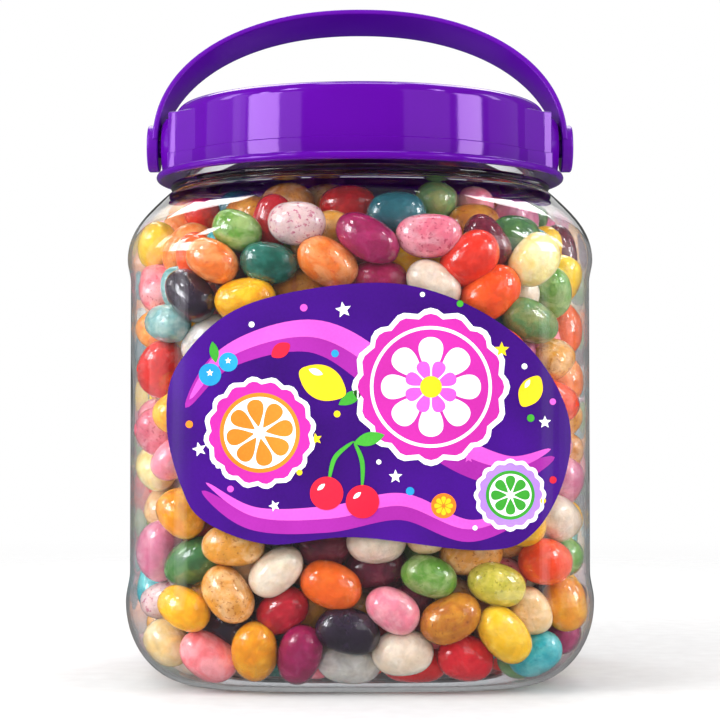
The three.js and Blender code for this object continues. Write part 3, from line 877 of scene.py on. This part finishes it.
def pour_beans(values, field):
    """Settles the beans in the jar: each is three balls in a row that push each other apart."""
    rng = np.random.default_rng(values.seed)
    usual_length, usual_width = values.half_length / MM, values.half_width / MM
    pinned = [(kind, *place) for kind, places in FRONT_BEANS.items() for place in places]
    held = len(pinned)
    total = values.total
    spread = values.unevenness
    size = rng.normal(1, spread, total).clip(1 - 2.4 * spread, 1 + 2.4 * spread)
    stretch = rng.normal(1, spread, total).clip(1 - 2.4 * spread, 1 + 2.6 * spread)
    half_length = usual_length * size * stretch
    half_width = usual_width * size
    end_ball = half_width * END_BALL
    reach = half_length - end_ball
    balls = np.stack([end_ball, half_width, end_ball], axis=1)
    offsets = np.stack([-reach, 0 * reach, reach], axis=1)
    middles, directions = np.empty((total, 3)), rng.normal(size=(total, 3))
    for i, (_, *place) in enumerate(pinned):
        middles[i], directions[i] = place_at_wall(field, *place, PLACED_HALF_WIDTH)
    filled = held
    while filled < total:
        tries = rng.uniform((-54, -54, 9), (54, 54, 121), (400, 3))
        tries = tries[field.depth(tries)[0] > 5]
        tries = tries[tries[:, 2] < 112 + (0.3 * (tries[:, 1] + 45)).clip(0, 9)]
        between = tries[:, None] - middles[None, :held]
        gaps = np.linalg.norm(between, axis=2).min(axis=1)
        seen_gaps = np.linalg.norm(between[..., ::2], axis=2)
        hides = ((seen_gaps < 9) & (between[..., 1] < 5)).any(axis=1)
        tries = tries[(gaps > 8) & ~hides][: total - filled]
        middles[filled : filled + len(tries)] = tries
        filled += len(tries)
    depth, inwards = field.depth(middles)
    near = depth < 11
    near[:held] = False
    along = (directions[near] * inwards[near]).sum(axis=1)[:, None]
    directions[near] -= 0.85 * along * inwards[near]
    directions /= np.linalg.norm(directions, axis=1)[:, None]
    targets, aims = middles[:held].copy(), directions[:held].copy()
    weight = np.where(np.arange(total) < held, PLACED_GIVE, 1.0)
    for turn in range(SETTLING_ROUNDS):
        if turn % 6 == 0:
            apart = ((middles[:, None] - middles[None]) ** 2).sum(axis=2)
            one, two = np.nonzero(np.triu(apart < 18.5**2, 1))
        places = middles[:, None] + offsets[:, :, None] * directions[:, None]
        push = np.zeros_like(places)
        touches = np.zeros(places.shape[:2])
        between = places[one][:, :, None] - places[two][:, None]
        gap = np.linalg.norm(between, axis=3) + 1e-9
        overlap = balls[one][:, :, None] + balls[two][:, None] - gap
        pair, first, second = np.nonzero(overlap > 0)
        amount = (overlap / gap)[pair, first, second][:, None] * 0.5
        shove = between[pair, first, second] * amount
        share = (2 * weight[one] / (weight[one] + weight[two]))[pair][:, None]
        np.add.at(push, (one[pair], first), shove * share)
        np.add.at(touches, (one[pair], first), 1)
        np.add.at(push, (two[pair], second), -shove * (2 - share))
        np.add.at(touches, (two[pair], second), 1)
        push /= np.maximum(1, touches * 0.55)[:, :, None]
        sunk, inwards = depth_of_balls(field, places, balls, 0.0)
        push = push * 0.9 + inwards * sunk[:, :, None]
        push[:, :, 2] += (field.floor(places) + balls - places[:, :, 2]).clip(0, 6)
        push[:, :, 2] -= 0.5 * (places[:, :, 2] + balls - HEAP_TOP).clip(0, 6)
        middles += push.mean(axis=1) * 1.35
        middles[:, 2] -= 0.02 if turn < SETTLING_ROUNDS * 0.7 else 0.005
        directions += 0.8 * (push[:, 2] - push[:, 0]) / (2 * reach)[:, None]
        middles[:held] += (targets - middles[:held]) * np.array([0.25, 0.12, 0.25])
        directions[:held] += 0.25 * (aims - directions[:held])
        directions /= np.linalg.norm(directions, axis=1)[:, None]
    for _ in range(12):
        places = middles[:, None] + offsets[:, :, None] * directions[:, None]
        sunk, inwards = depth_of_balls(field, places, balls, 0.05)
        worst = (np.arange(total), sunk.argmax(axis=1))
        middles += inwards[worst] * sunk[worst][:, None]
        low = (field.floor(places) + balls - places[:, :, 2]).clip(0, 6).max(axis=1)
        middles[:, 2] += low
    names = sorted(BEAN_KINDS)
    kinds = [place[0] for place in pinned]
    kinds += [names[i] for i in rng.integers(0, len(names), total - held)]
    return middles, directions, half_length, half_width, np.array(kinds), rng


def bean_shape():
    """A bean as a round cage of 24 faces, half a unit long and wide, for a subdivision surface."""
    bm = bmesh.new()
    bmesh.ops.create_cube(bm, size=1.0)
    bmesh.ops.subdivide_edges(bm, edges=bm.edges, cuts=1, use_grid_fill=True)
    for vertex in bm.verts:
        vertex.co = vertex.co.normalized()
    mesh = bpy.data.meshes.new("bean_shape")
    bm.to_mesh(mesh)
    bm.free()
    return mesh


# A subdivision surface lies inside its cage by this share
CAGE_SHRINK = 0.845
# The cages stay inside the jar's widest part
BEAN_LIMIT = 60.0


def bend_bean(vertices, middle, direction, half_length, half_width, rng):
    """Gives a round cage a bean's blunt ends, its bend and its place."""
    long_way = Vector(direction)
    across = long_way.orthogonal().normalized()
    across.rotate(Matrix.Rotation(rng.uniform(0, 2 * math.pi), 3, long_way))
    third = long_way.cross(across)
    bend = rng.uniform(0.2, 1.2)
    lopsided = rng.uniform(-0.06, 0.06)
    flat = rng.uniform(0.93, 1.0)
    for vertex in vertices:
        x, y, z = vertex.co
        full = 1 + 0.07 * (1 - abs(2 * abs(x) - 1)) + lopsided * x
        y *= full * half_width / CAGE_SHRINK
        z *= full * flat * half_width / CAGE_SHRINK
        y -= bend * (x * x - 0.4)
        x *= half_length / CAGE_SHRINK
        place = Vector(middle) + long_way * x + across * y + third * z
        vertex.co = [max(-BEAN_LIMIT, min(BEAN_LIMIT, part)) for part in place[:2]] + [place.z]


# Operators, one for each piece or group of like pieces


class JAR_OT_clear_jar(bpy.types.Operator):
    """Builds the clear blown jar"""

    bl_idname = "jelly_beans.clear_jar"
    bl_label = "Clear jar"

    def execute(self, context):
        values = settings().jar
        bm = turned(jar_profile(values.wall / MM), values.steps_around)
        square_up(bm)
        material = blown_clear_pet(values.tint)
        finished_piece("clear_jar", bm, material, JAR_BODY, ["jar"])
        return {"FINISHED"}


class JAR_OT_beans(bpy.types.Operator):
    """Pours the jelly beans, one piece for each kind, over a hidden core coloured with painted shade"""

    bl_idname = "jelly_beans.beans"
    bl_label = "Jelly beans"

    def execute(self, context):
        values = settings().beans
        wall = settings().jar.wall / MM
        field = WallField(wall)
        middles, directions, lengths, widths, kinds, rng = pour_beans(values, field)
        depth = field.depth(middles)[0]
        core_depth = values.core_depth / MM
        shown = (depth < core_depth + 2) | (middles[:, 2] < 24) | (middles[:, 2] > 97)
        shape = bean_shape()
        for kind in sorted(BEAN_KINDS):
            bm = bmesh.new()
            tones = []
            for i in np.nonzero(shown & (kinds == kind))[0]:
                start = len(bm.verts)
                bm.from_mesh(shape)
                bm.verts.ensure_lookup_table()
                own = bm.verts[start:]
                bend_bean(own, middles[i], directions[i], lengths[i], widths[i], rng)
                tones += [rng.uniform()] * len(own)
            piece = finished_piece(
                "beans_" + kind, bm, panned_sugar(kind), JAR_BODY, ["beans"]
            )
            tone = piece.data.attributes.new("bean_tone", "FLOAT", "POINT")
            tone.data.foreach_set("value", np.array(tones, np.float32))
            smooth = piece.modifiers.new("Smooth sugar", "SUBSURF")
            smooth.levels = 2
            smooth.render_levels = 2
        # The core is a shell coloured with painted shade, which stands in for the unlit beans deep in
        # the heap
        half = PANEL_HALF - wall - core_depth
        core_line = [(0, 24), (half - 5, 24), (half, 29), (half, 99), (half - 8, 108), (0, 112)]
        core = turned(core_line, 48)
        square_up(core)
        finished_piece("bean_core", core, painted_shade_sugar(values.core), JAR_BODY, ["beans"])
        return {"FINISHED"}


def smooth_outline(points, steps):
    """A closed smooth line through the points, evenly stepped between each two."""
    places = np.array(points, float)
    line = []
    for i in range(len(places)):
        before, start, end, after = (places[(i + k) % len(places)] for k in (-1, 0, 1, 2))
        for share in np.linspace(0, 1, steps, endpoint=False):
            line.append(
                0.5
                * (
                    2 * start
                    + (end - before) * share
                    + (2 * before - 5 * start + 4 * end - after) * share**2
                    + (3 * start - before - 3 * end + after) * share**3
                )
            )
    return np.array(line)


def flat_shape(line):
    """A flat face whose edge follows the line, drawn with x across and y up."""
    bm = bmesh.new()
    made = bmesh.ops.create_circle(bm, cap_ends=True, segments=len(line), radius=1.0)
    for vertex, place in zip(made["verts"], line):
        vertex.co = Vector((place[0], place[1], 0.0))
    bmesh.ops.recalc_face_normals(bm, faces=bm.faces)
    return bm


def lay_on_panel(bm, outer, thickness):
    """Cuts a flat shape into upright strips and bends it round the panel as a thin sheet."""
    widest = max(abs(vertex.co.x) for vertex in bm.verts)
    for cut in np.arange(-math.floor(widest / 1.5) * 1.5, widest, 1.5):
        geometry = bm.verts[:] + bm.edges[:] + bm.faces[:]
        bmesh.ops.bisect_plane(bm, geom=geometry, dist=0.0001, plane_co=(cut, 0, 0), plane_no=(1, 0, 0))
    for face in bm.faces:
        if face.normal.z < 0:
            face.normal_flip()
    bm.verts.index_update()
    bottom = bmesh.ops.extrude_face_region(bm, geom=bm.faces[:])
    lower = [item for item in bottom["geom"] if isinstance(item, bmesh.types.BMVert)]
    lower_set = set(lower)
    for vertex in bm.verts:
        x, height = vertex.co.x, vertex.co.y
        offset = outer - (0.0 if vertex in lower_set else thickness)
        slope = (panel_depth(x + 0.01) - panel_depth(x - 0.01)) / 0.02
        run = math.hypot(1, slope)
        vertex.co = Vector((x - offset * slope / run, -(panel_depth(x) + offset / run), height))
    bmesh.ops.recalc_face_normals(bm, faces=bm.faces)


def printed_shape(kind, x, height, size, turn):
    """A flat printed shape of some kind, with its own turn and place."""
    angles = np.radians(np.arange(0, 360, 5))
    around = np.stack([np.cos(angles), np.sin(angles)], axis=1)
    if kind == "rosette":
        lines = [around * (0.92 + 0.08 * np.abs(np.cos(8 * angles)))[:, None]]
    elif kind == "star":
        points = np.radians(np.arange(90, 450, 36))
        radii = np.where(np.arange(10) % 2 == 0, 1.0, 0.45)
        lines = [np.stack([np.cos(points), np.sin(points)], axis=1) * radii[:, None]]
    elif kind == "leaf":
        lines = [np.stack([around[:, 0], 0.42 * np.sin(angles) * np.abs(np.sin(angles))], axis=1)]
    elif kind == "lemon":
        tips = 0.16 * np.abs(around[:, 0]) ** 8 * np.sign(around[:, 0])
        lines = [np.stack([0.84 * around[:, 0] + tips, 0.66 * around[:, 1]], axis=1)]
    elif kind == "flower":
        petal = np.stack([0.58 + 0.4 * around[:, 0], 0.235 * around[:, 1]], axis=1)
        petal[:, 1] *= petal[:, 0] / 0.66
        lines = []
        for spoke in np.radians(np.arange(0, 360, 45)):
            wheel = np.array([[math.cos(spoke), math.sin(spoke)], [-math.sin(spoke), math.cos(spoke)]])
            lines.append(petal @ wheel)
    else:
        lines = [around]
    bm = bmesh.new()
    for line in lines:
        merge_into(bm, flat_shape(line))
    place = Matrix.Translation((x, height, 0)) @ Matrix.Rotation(math.radians(turn), 4, "Z")
    bmesh.ops.scale(bm, vec=(size, size, 1), verts=bm.verts)
    bmesh.ops.transform(bm, matrix=place, verts=bm.verts)
    return bm


def swoosh(width, points):
    """A flat ribbon along a smooth line, pointed at both ends."""
    ends = [points[0], *points, points[-1]]
    closed = smooth_outline(ends + points[-2:0:-1], 12)
    line = closed[12 : 12 * len(points) + 1]
    along = np.gradient(line, axis=0)
    along /= np.linalg.norm(along, axis=1)[:, None] + 1e-9
    aside = np.stack([-along[:, 1], along[:, 0]], axis=1)
    share = np.linspace(0, 1, len(line))
    half = 0.5 * width * np.sin(np.pi * share).clip(0, 1)[:, None] ** 0.6
    edge = np.concatenate([line + aside * half, (line - aside * half)[-2:0:-1]])
    return flat_shape(edge)


class JAR_OT_label(bpy.types.Operator):
    """Builds the label's film and its printed design"""

    bl_idname = "jelly_beans.label"
    bl_label = "Label"

    def execute(self, context):
        values = settings().label
        film = flat_shape(smooth_outline(LABEL_OUTLINE, 10))
        lay_on_panel(film, values.standoff / MM, values.film / MM)
        material = printed_film("printed_film_violet", values.ground_deep, values.ground)
        finished_piece("label_film", film, material, JAR_BODY, ["label"], smooth_angle=40)
        shapes = [(ink, layer, swoosh(width, line)) for ink, layer, width, line in SWOOSHES]
        shapes += [(ink, layer, printed_shape(*drawn)) for ink, layer, *drawn in PRINTS]
        inks = {ink: bmesh.new() for ink in INKS}
        for ink, layer, shape in shapes:
            lay_on_panel(shape, (values.standoff + layer * values.ink) / MM, 0.6 * values.ink / MM)
            merge_into(inks[ink], shape)
        for ink, bm in inks.items():
            finished_piece(
                "label_ink_" + ink,
                bm,
                printed_film("printed_ink_" + ink, *INKS[ink]),
                JAR_BODY,
                ["label"],
                smooth_angle=40,
            )
        return {"FINISHED"}


def lid_profile():
    """The lid's shell, from under its top down the bore and up the outside."""
    lip = FLANGE_THICK / 2
    dish = LID_TOP - LID_DISH_DEPTH
    return [
        (0.0, RIM_TOP + 0.3),
        (LID_BORE - 0.4, RIM_TOP + 0.3),
        (LID_BORE, RIM_TOP - 0.1),
        (LID_BORE, FLANGE_BOTTOM + 3.2),
        (LID_BORE + 0.4, FLANGE_BOTTOM + 2.8),
        (FLANGE_RADIUS - 1.7, FLANGE_BOTTOM + 0.2),
        *arc(FLANGE_RADIUS - lip, FLANGE_BOTTOM + lip, lip, lip, -90, 90, 10),
        (LID_LOWER_RADIUS + 1.0, FLANGE_BOTTOM + FLANGE_THICK + 0.05),
        *arc(LID_LOWER_RADIUS + 0.8, FLANGE_BOTTOM + FLANGE_THICK + 0.85, 0.8, 0.8, -90, -180, 6),
        (LID_LOWER_RADIUS, LID_STEP - 0.15),
        (LID_LOWER_RADIUS - 0.12, LID_STEP),
        (LID_RADIUS, LID_STEP + 0.12),
        *arc(LID_RADIUS - LID_FILLET, LID_TOP - LID_FILLET, LID_FILLET, LID_FILLET, 0, 90, 10),
        (LID_DISH_RADIUS + LID_DISH_DEPTH + 0.5, LID_TOP),
        *soft_step((LID_DISH_RADIUS + LID_DISH_DEPTH, LID_TOP), (LID_DISH_RADIUS, dish), 5),
        (LID_DISH_RADIUS - 0.5, dish),
        (LID_DISH_RADIUS - 1.3, dish),
        (5.0, dish),
        (4.2, dish),
        (3.6, dish - 0.25),
        (1.2, dish - 0.25),
        (0.8, dish - 0.05),
        (0.0, dish),
    ]


def ear_slab(sign, face, low, high, rounding):
    """One ear's pad: its ends run on from the lid's round side to bright upright chamfers."""
    grown = face - EAR_FACE
    corner = (EAR_CORNER + grown, -EAR_HALF_WIDTH - grown)
    chamfer_end = (face, corner[1] + EAR_CHAMFER_SLOPE * (face - corner[0]))
    front = [(EAR_START[0], EAR_START[1] - grown), corner, chamfer_end]
    back = [(x, -y) for x, y in reversed(front)]
    bm = flat_shape([(LID_BORE - 6, -8.0), *front, *back, (LID_BORE - 6, 8.0)])
    corners = [vertex for vertex in bm.verts if vertex.co.x > 46]
    bevel(bm, corners, rounding, 4, "VERTICES")
    made = bmesh.ops.extrude_face_region(bm, geom=bm.faces[:])
    upper = [item for item in made["geom"] if isinstance(item, bmesh.types.BMVert)]
    bmesh.ops.translate(bm, vec=(0, 0, high - low), verts=upper)
    bmesh.ops.translate(bm, vec=(0, 0, low), verts=bm.verts)
    bmesh.ops.recalc_face_normals(bm, faces=bm.faces)
    rim = [
        edge
        for edge in bm.edges
        if min(edge.verts[0].co.z, edge.verts[1].co.z) > high - 0.01
        and min(edge.verts[0].co.x, edge.verts[1].co.x) > 40
    ]
    bevel(bm, rim, 0.3 - 0.6 * grown, 3)
    if sign < 0:
        bmesh.ops.rotate(bm, cent=(0, 0, 0), matrix=Matrix.Rotation(math.pi, 3, "Z"), verts=bm.verts)
    return bm


def pivot_cone(sign):
    """The cone on an ear's face that the handle's button sits on, cut level with the ear."""
    profile = [
        (0.0, EAR_FACE - 0.4),
        (CONE_BASE_RADIUS + 0.8, EAR_FACE - 0.4),
        (CONE_BASE_RADIUS, EAR_FACE + 0.05),
        (CONE_TOP_RADIUS + 0.5, CONE_FACE - 0.12),
        (CONE_TOP_RADIUS, CONE_FACE),
        (STUD_RADIUS + 0.3, CONE_FACE),
        (STUD_RADIUS + 0.3, CONE_FACE - 1.0),
        (0.0, CONE_FACE - 1.0),
    ]
    bm = turned_sideways(profile, sign, PIVOT_HEIGHT)
    half = RIM_TOP - PIVOT_HEIGHT
    for side in (-1, 1):
        cut = bmesh.ops.bisect_plane(
            bm,
            geom=bm.verts[:] + bm.edges[:] + bm.faces[:],
            dist=0.0001,
            plane_co=(0, 0, PIVOT_HEIGHT + side * (half - 0.02)),
            plane_no=(0, 0, side),
            clear_outer=True,
        )
        edges = [item for item in cut["geom_cut"] if isinstance(item, bmesh.types.BMEdge)]
        bmesh.ops.holes_fill(bm, edges=edges, sides=0)
    bmesh.ops.recalc_face_normals(bm, faces=bm.faces)
    return bm


class JAR_OT_lid(bpy.types.Operator):
    """Builds the screw lid with its flange and ears"""

    bl_idname = "jelly_beans.lid"
    bl_label = "Screw lid"

    def execute(self, context):
        values = settings().lid
        rounding = values.ear_rounding / MM
        bm = turned(lid_profile(), values.steps_around)
        bottom = FLANGE_BOTTOM + FLANGE_THICK - 0.3
        for sign in (-1, 1):
            merge_into(bm, ear_slab(sign, EAR_FACE, LID_STEP - 1, RIM_TOP, rounding))
            merge_into(bm, ear_slab(sign, EAR_FACE + EAR_STEP, bottom, LID_STEP, rounding))
            merge_into(bm, pivot_cone(sign))
        name = "polypropylene_moulded_lid"
        material = moulded_polypropylene(name, values.violet, values.violet_deep, 0.09)
        finished_piece("screw_lid", bm, material, JAR_BODY, ["lid"], smooth_angle=35)
        return {"FINISHED"}


HANDLE_EXPONENT = 2.15


def long_edges(bm):
    """The edges along a bar that lies along X."""
    return [edge for edge in bm.edges if abs(edge.verts[0].co.x - edge.verts[1].co.x) > 1]


def arch_point(share, span, rise):
    """A point of the flattened half ellipse, share 0 at +X over the top to share 1 at -X."""
    angle = math.pi * share
    power = 2 / HANDLE_EXPONENT
    side = math.copysign(abs(math.cos(angle)) ** power, math.cos(angle))
    return span * side, rise * max(math.sin(angle), 0.0) ** power


def strip_arch(values, span):
    """The strip with rounded edges, bent over the lid."""
    rise, thick = values.rise / MM, values.thickness / MM
    bm = bmesh.new()
    bmesh.ops.create_cube(bm, size=1.0)
    bmesh.ops.scale(bm, vec=(100.0, values.width / MM, thick), verts=bm.verts)
    bevel(bm, long_edges(bm), values.rounding / MM, 4)
    bmesh.ops.subdivide_edges(bm, edges=long_edges(bm), cuts=119, use_grid_fill=True)
    for vertex in bm.verts:
        share = 0.5 - vertex.co.x / 100.0
        outer = arch_point(share, span, rise)
        inner = arch_point(share, span - thick, rise - thick)
        out = vertex.co.z / thick + 0.5
        across = inner[0] + (outer[0] - inner[0]) * out
        vertex.co = Vector((across, vertex.co.y, inner[1] + (outer[1] - inner[1]) * out))
    bmesh.ops.recalc_face_normals(bm, faces=bm.faces)
    return bm


def pivot_button(sign, strip_face):
    """A round button with its shallow ring, on the strip, and the stud that turns in the ear."""
    profile = [
        (0.0, STUD_END),
        (STUD_RADIUS - 0.3, STUD_END),
        (STUD_RADIUS, STUD_END + 0.3),
        (STUD_RADIUS, strip_face),
        (BUTTON_RADIUS - 0.3, strip_face),
        (BUTTON_RADIUS, strip_face + 0.3),
        (BUTTON_RADIUS, BUTTON_FACE - 0.6),
        *arc(BUTTON_RADIUS - 0.6, BUTTON_FACE - 0.6, 0.6, 0.6, 0, 90, 5),
        (BUTTON_RADIUS - 1.2, BUTTON_FACE),
        (BUTTON_RADIUS - 1.35, BUTTON_FACE - 0.2),
        (BUTTON_RADIUS - 1.75, BUTTON_FACE - 0.2),
        (BUTTON_RADIUS - 1.9, BUTTON_FACE),
        (0.0, BUTTON_FACE),
    ]
    return turned_sideways(profile, sign, 0.0)


class JAR_OT_handle(bpy.types.Operator):
    """Builds the strip handle with its round buttons and studs"""

    bl_idname = "jelly_beans.handle"
    bl_label = "Carry handle"

    def execute(self, context):
        values = settings().handle
        span = values.span / MM
        bm = strip_arch(values, span)
        for sign in (-1, 1):
            merge_into(bm, pivot_button(sign, span - values.thickness / MM))
        lean = Matrix.Rotation(-values.lean, 3, "X")
        bmesh.ops.rotate(bm, cent=(0, 0, 0), matrix=lean, verts=bm.verts)
        bmesh.ops.translate(bm, vec=(0, 0, PIVOT_HEIGHT), verts=bm.verts)
        name = "polypropylene_moulded_handle"
        material = moulded_polypropylene(name, values.violet, values.violet_deep, 0.26)
        finished_piece(
            "strip_handle", bm, material, HANDLE_BODY, ["handle"], smooth_angle=35
        )
        return {"FINISHED"}


# The studio's lights: azimuth in degrees, height, distance, width, tallness and radiance. Some
# are aimed at another height than their own, and the fills aren't mirrored in glossy things.
# The strips stand above the label's height, so that they show on the lid and the shoulder
STUDIO_LIGHTS = {
    "left_strip_near": (-58.5, 0.3, 0.6, 0.22, 0.22, 9.5),
    "left_strip_far": (-76, 0.3, 0.6, 0.1, 0.22, 1.4),
    "left_strip_edge": (-41, 0.3, 0.6, 0.14, 0.22, 1.6),
    "left_strip_low": (-58, 0.06, 0.6, 0.12, 0.24, 1.0),
    "left_side": (-90, 0.3, 0.6, 0.32, 0.7, 0.5),
    "right_strip_high": (68, 0.3, 0.6, 0.18, 0.22, 9.0),
    "right_strip_low": (64, 0.06, 0.6, 0.1, 0.24, 0.9),
    "right_panel": (40, 0.4, 0.7, 0.36, 0.4, 0.9),
    "right_side": (96, 0.3, 0.6, 0.3, 0.7, 0.4),
    "left_lamp": (-50, 0.62, 0.5, 0.09, 0.13, 13.0, 0.08),
    "low_left_lamp": (-62, 0.44, 0.55, 0.06, 0.08, 13.0, 0.08),
    "right_lamp": (54, 0.56, 0.5, 0.06, 0.11, 13.0, 0.08),
    "left_rim_light": (-155, 0.6, 0.42, 0.2, 0.3, 5.0, 0.11),
    "right_rim_light": (155, 0.6, 0.42, 0.18, 0.3, 5.0, 0.11),
    "left_corner_strip": (-88, 0.43, 0.6, 0.09, 0.28, 5.0),
    "right_corner_strip": (90, 0.42, 0.6, 0.07, 0.26, 5.0),
    "left_fill": (-50, 0.62, 0.5, 0.5, 0.5, 2.8, 0.08, False),
    "low_left_fill": (-80, 0.2, 0.7, 0.4, 0.4, 1.2, 0.1, False),
    "right_fill": (50, 0.55, 0.55, 0.4, 0.4, 1.4, 0.08, False),
    "front_fill": (-12, 0.22, 0.85, 0.5, 0.3, 1.6, 0.04, False),
    "top_box": (180, 0.88, 0.12, 0.3, 0.22, 4.5, 0.1),
    "rear_box": (180, 0.56, 0.9, 0.9, 0.42, 0.8, 0.12),
}


def softbox(name, azimuth, height, distance, width, tall, radiance, aim=None, mirrored=True):
    """A rectangular light that faces the jar at a height, not seen by the camera."""
    light = bpy.data.lights.new(name, "AREA")
    light.shape = "RECTANGLE"
    light.size = width
    light.size_y = tall
    light.energy = radiance * math.pi * width * tall
    holder = bpy.data.objects.new(name, light)
    turn = math.radians(azimuth)
    holder.location = (distance * math.sin(turn), -distance * math.cos(turn), height)
    towards = Vector((0, 0, height if aim is None else aim)) - holder.location
    holder.rotation_euler = towards.to_track_quat("-Z", "Y").to_euler()
    holder.visible_camera = False
    holder.visible_glossy = mirrored
    holder.visible_transmission = mirrored
    bpy.context.scene.collection.objects.link(holder)


class JAR_OT_stage(bpy.types.Operator):
    """Sets the camera, the pale floor and the soft studio light"""

    bl_idname = "jelly_beans.stage"
    bl_label = "Stage"

    def execute(self, context):
        values = settings().stage
        scene = context.scene
        scene.view_settings.view_transform = "Standard"
        camera = bpy.data.objects.new("studio_camera", bpy.data.cameras.new("studio_camera"))
        camera.data.lens = values.camera_lens
        camera.data.sensor_width = 36.0
        camera.location = (0, -values.camera_back, values.camera_height)
        camera.rotation_euler = (math.pi / 2 + values.camera_pitch, 0, 0)
        scene.collection.objects.link(camera)
        scene.camera = camera
        bm = bmesh.new()
        bmesh.ops.create_circle(bm, cap_ends=True, segments=96, radius=values.floor_radius)
        mesh = bpy.data.meshes.new("studio_floor")
        bm.to_mesh(mesh)
        bm.free()
        dimming = (values.mirrored, values.mirrored_in_glass)
        mesh.materials.append(painted_floor(values.floor, values.floor_radius, *dimming))
        floor = bpy.data.objects.new("studio_floor", mesh)
        scene.collection.objects.link(floor)
        for name, numbers in STUDIO_LIGHTS.items():
            softbox(name, *numbers)
        scene.world = studio_world(values.ambient, *dimming)
        return {"FINISHED"}


STEPS = (JAR_OT_stage, JAR_OT_clear_jar, JAR_OT_lid, JAR_OT_handle, JAR_OT_label, JAR_OT_beans)


class JAR_PT_panel(bpy.types.Panel):
    """Lists the steps that build the jar of jelly beans"""

    bl_idname = "JAR_PT_panel"
    bl_label = "Jar of jelly beans"
    bl_space_type = "VIEW_3D"
    bl_region_type = "UI"
    bl_category = "Jelly beans"

    def draw(self, context):
        for step in STEPS:
            self.layout.operator(step.bl_idname)


CLASSES = (
    JarSettings,
    BeanSettings,
    LabelSettings,
    LidSettings,
    HandleSettings,
    StageSettings,
    JellyBeanJar,
    *STEPS,
    JAR_PT_panel,
)


def register():
    for kind in CLASSES:
        bpy.utils.register_class(kind)
    bpy.types.Scene.jelly_bean_jar = bpy.props.PointerProperty(type=JellyBeanJar)


def unregister():
    del bpy.types.Scene.jelly_bean_jar
    for kind in reversed(CLASSES):
        bpy.utils.unregister_class(kind)


def main():
    register()
    bpy.ops.jelly_beans.stage()
    bpy.ops.jelly_beans.clear_jar()
    bpy.ops.jelly_beans.lid()
    bpy.ops.jelly_beans.handle()
    bpy.ops.jelly_beans.label()
    bpy.ops.jelly_beans.beans()


if __name__ == "__main__":
    main()
